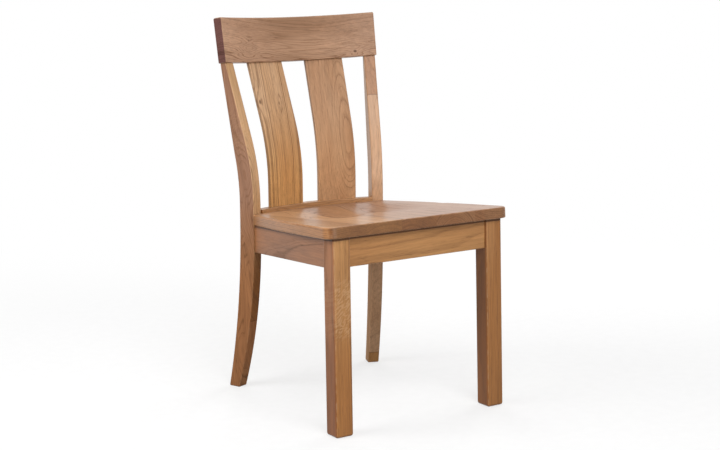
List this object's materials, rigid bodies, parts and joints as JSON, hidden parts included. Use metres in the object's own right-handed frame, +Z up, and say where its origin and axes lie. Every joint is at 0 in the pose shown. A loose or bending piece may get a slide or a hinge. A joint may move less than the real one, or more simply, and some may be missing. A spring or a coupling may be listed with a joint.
{
  "type": "dining chair",
  "caption": "Oak dining chair with a scooped plank seat on square front legs, bent rear posts, flat vertical splats and a curved crest rail.",
  "frame": {"origin": "on the floor, under the middle of the chair's outline", "axes": "+Z up, the chair faces -Y, +X to the right as seen from the front"},
  "size_m": [0.49, 0.577, 0.8941],
  "materials": {
    "oak_frame": "satin honey oak",
    "oak_back": "satin honey oak",
    "oak_seat": "satin honey oak",
    "block_wood": "bare sawn wood",
    "dowel_wood": "bare turned beech",
    "screw_steel": "zinc plated"
  },
  "bodies": {
    "root": {"front_leg_left": "oak_frame", "front_leg_right": "oak_frame", "rear_post_left": "oak_frame", "rear_post_right": "oak_frame", "front_apron": "oak_frame", "side_apron_left": "oak_frame", "side_apron_right": "oak_frame", "back_rail": "oak_back", "splat_left": "oak_back", "splat_right": "oak_back", "crest_rail": "oak_back", "seat_board_left": "oak_seat", "seat_board_mid_left": "oak_seat", "seat_board_middle": "oak_seat", "seat_board_mid_right": "oak_seat", "seat_board_right": "oak_seat", "corner_block_front_left": "block_wood", "corner_block_front_right": "block_wood", "corner_block_rear_left": "block_wood", "corner_block_rear_right": "block_wood", "frame_dowels": "dowel_wood", "crest_dowels": "dowel_wood", "block_screws": "screw_steel", "seat_screws": "screw_steel"}
  },
  "joints": []
}
